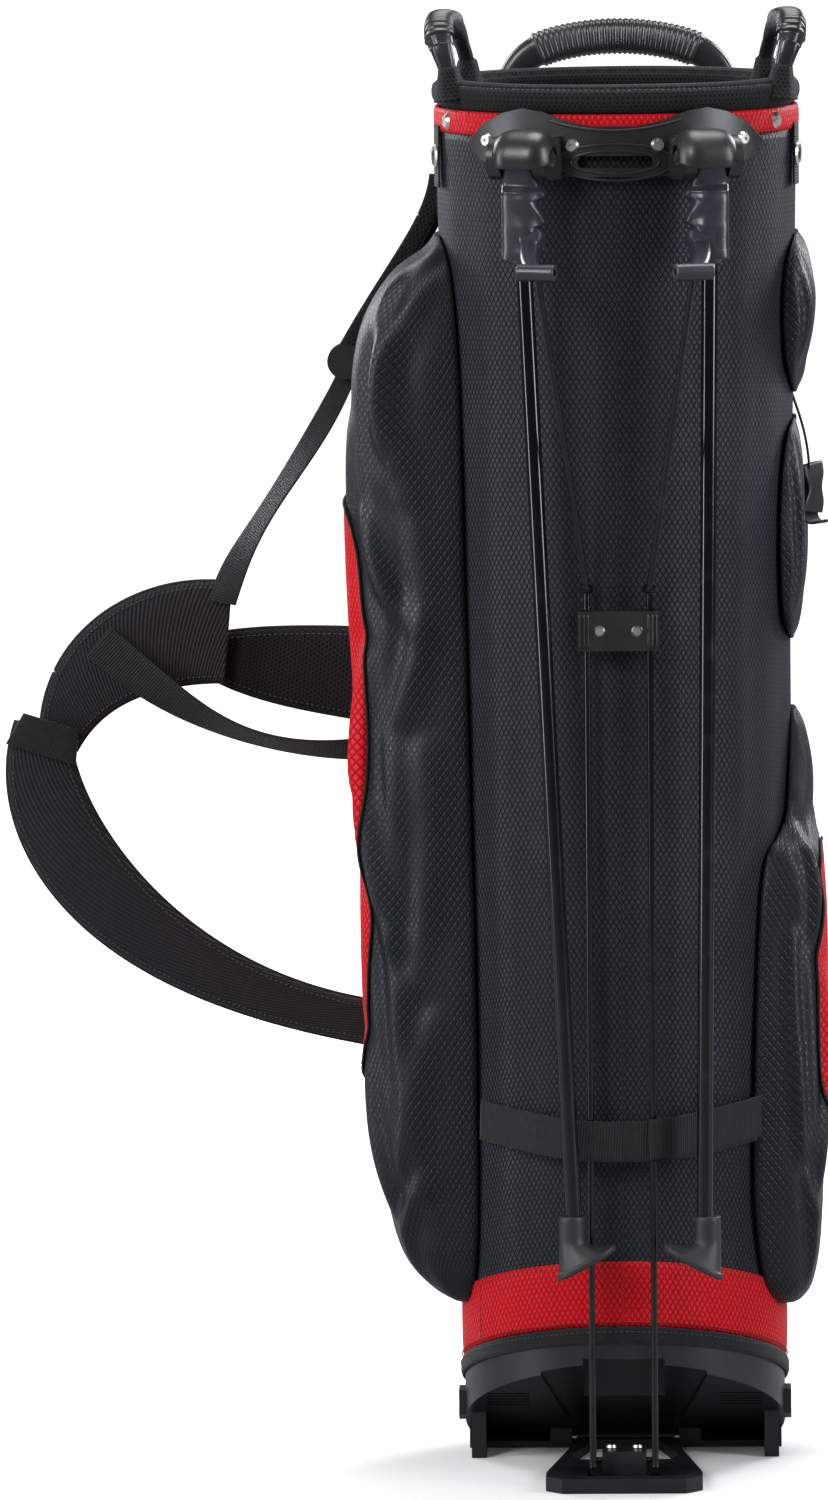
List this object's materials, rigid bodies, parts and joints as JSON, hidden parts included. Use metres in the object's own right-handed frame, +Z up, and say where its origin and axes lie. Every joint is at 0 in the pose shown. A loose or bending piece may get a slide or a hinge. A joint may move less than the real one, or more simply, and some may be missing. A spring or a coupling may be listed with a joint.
{
  "type": "golf stand bag",
  "caption": "Upright golf bag with padded rim, side pockets, shoulder straps and two folding legs driven by a hinged foot plate through push wires.",
  "frame": {"origin": "on the floor, on the axis of the bag tube", "axes": "+Z up along the bag, -Y towards the folding legs, -X towards the big pocket and the shoulder straps"},
  "size_m": [0.5029, 0.3105, 0.8992],
  "materials": {
    "tube_fabric": "matte",
    "mesh_fabric": "matte",
    "lining": "matte",
    "pocket_fabric": "satin",
    "red_fabric": "satin",
    "webbing": "matte",
    "strap_pad": "matte",
    "handle_plastic": "satin",
    "crown_plastic": "satin",
    "base_plastic": "satin",
    "bracket_plastic": "satin",
    "small_plastic": "satin",
    "stay_rod": "gloss",
    "nickel": "satin",
    "leg_tube_paint": "gloss",
    "wire_steel": "gloss",
    "foot_rubber": "matte"
  },
  "bodies": {
    "bag": {"body_shell": "tube_fabric", "top_collar": "small_plastic", "cuff": "mesh_fabric", "top_divider": "mesh_fabric", "divider_sleeves": "lining", "stays": "stay_rod", "top_band": "red_fabric", "band_rivets": "nickel", "grommet_tabs": "webbing", "grommets": "nickel", "rear_handle": "handle_plastic", "left_handle": "handle_plastic", "right_handle": "handle_plastic", "leg_crown": "crown_plastic", "crown_screws": "nickel", "left_leg_pin": "nickel", "right_leg_pin": "nickel", "wire_guide": "crown_plastic", "guide_rivets": "nickel", "base_cup": "base_plastic", "base_hinge_pin": "nickel", "base_band": "red_fabric", "base_binding": "mesh_fabric", "leg_strap": "webbing", "left_pocket": "pocket_fabric", "left_pocket_panel": "red_fabric", "left_zip": "small_plastic", "right_upper_pocket": "pocket_fabric", "right_mid_pocket": "pocket_fabric", "right_lower_pocket": "pocket_fabric", "right_pocket_panel": "red_fabric", "right_zip": "small_plastic", "side_buckle": "small_plastic", "hip_pad": "mesh_fabric", "strap_anchor": "small_plastic", "upper_straps": "webbing", "strap_button": "small_plastic", "hanger_webbing": "webbing", "shoulder_strap": "strap_pad", "second_strap": "strap_pad", "lower_webbing": "webbing"},
    "left_leg": {"left_leg_bracket": "bracket_plastic", "left_leg_tube": "leg_tube_paint", "left_foot": "foot_rubber"},
    "right_leg": {"right_leg_bracket": "bracket_plastic", "right_leg_tube": "leg_tube_paint", "right_foot": "foot_rubber"},
    "foot_plate": {"foot_plate": "base_plastic", "wire_clamp": "base_plastic", "clamp_screws": "nickel"},
    "push_rod": {"push_rod": "wire_steel"},
    "left_wire": {"left_wire": "wire_steel"},
    "right_wire": {"right_wire": "wire_steel"},
    "left_zip_slider": {"left_zip_slider": "nickel"},
    "right_zip_slider": {"right_zip_slider": "nickel"}
  },
  "joints": [
    {"name": "foot_plate_hinge", "type": "hinge", "parent": "bag", "child": "foot_plate", "pos_m": [0, 0.028, 0.005], "axis": [-1, 0, 0], "range_deg": [0, 26], "stiffness_Nm_per_rad": 4, "springref_deg": -22.92},
    {"name": "push_rod_pivot", "type": "hinge", "parent": "foot_plate", "child": "push_rod", "pos_m": [0, -0.098, 0.014], "axis": [1, 0, 0], "range_deg": [0, 28.2]},
    {"name": "left_wire_pivot", "type": "hinge", "parent": "push_rod", "child": "left_wire", "pos_m": [-0.019, -0.112, 0.553], "axis": [0.8926, -0.4509, 0], "range_deg": [0, 7.03]},
    {"name": "right_wire_pivot", "type": "hinge", "parent": "push_rod", "child": "right_wire", "pos_m": [0.019, -0.112, 0.553], "axis": [0.8926, 0.4509, 0], "range_deg": [0, 7.03]},
    {"name": "left_leg_hinge", "type": "hinge", "parent": "bag", "child": "left_leg", "pos_m": [-0.056, -0.124, 0.815], "axis": [-0.9397, 0.342, 0], "range_deg": [0, 42.2]},
    {"name": "right_leg_hinge", "type": "hinge", "parent": "bag", "child": "right_leg", "pos_m": [0.056, -0.124, 0.815], "axis": [-0.9397, -0.342, 0], "range_deg": [0, 42.2]},
    {"name": "left_zip_slide", "type": "slide", "parent": "bag", "child": "left_zip_slider", "axis": [-0.0109, 0.0113, 0.9999], "range_m": [-0.36, 0]},
    {"name": "right_zip_slide", "type": "slide", "parent": "bag", "child": "right_zip_slider", "axis": [0.0117, 0.0105, 0.9999], "range_m": [-0.155, 0]}
  ],
  "couplings": [
    {"joint": "push_rod_pivot", "follows": "foot_plate_hinge", "ratio": 1.0769},
    {"joint": "left_wire_pivot", "follows": "foot_plate_hinge", "ratio": 0.26269},
    {"joint": "right_wire_pivot", "follows": "foot_plate_hinge", "ratio": 0.26269},
    {"joint": "left_leg_hinge", "follows": "foot_plate_hinge", "ratio": 1.6154},
    {"joint": "right_leg_hinge", "follows": "foot_plate_hinge", "ratio": 1.6154}
  ]
}
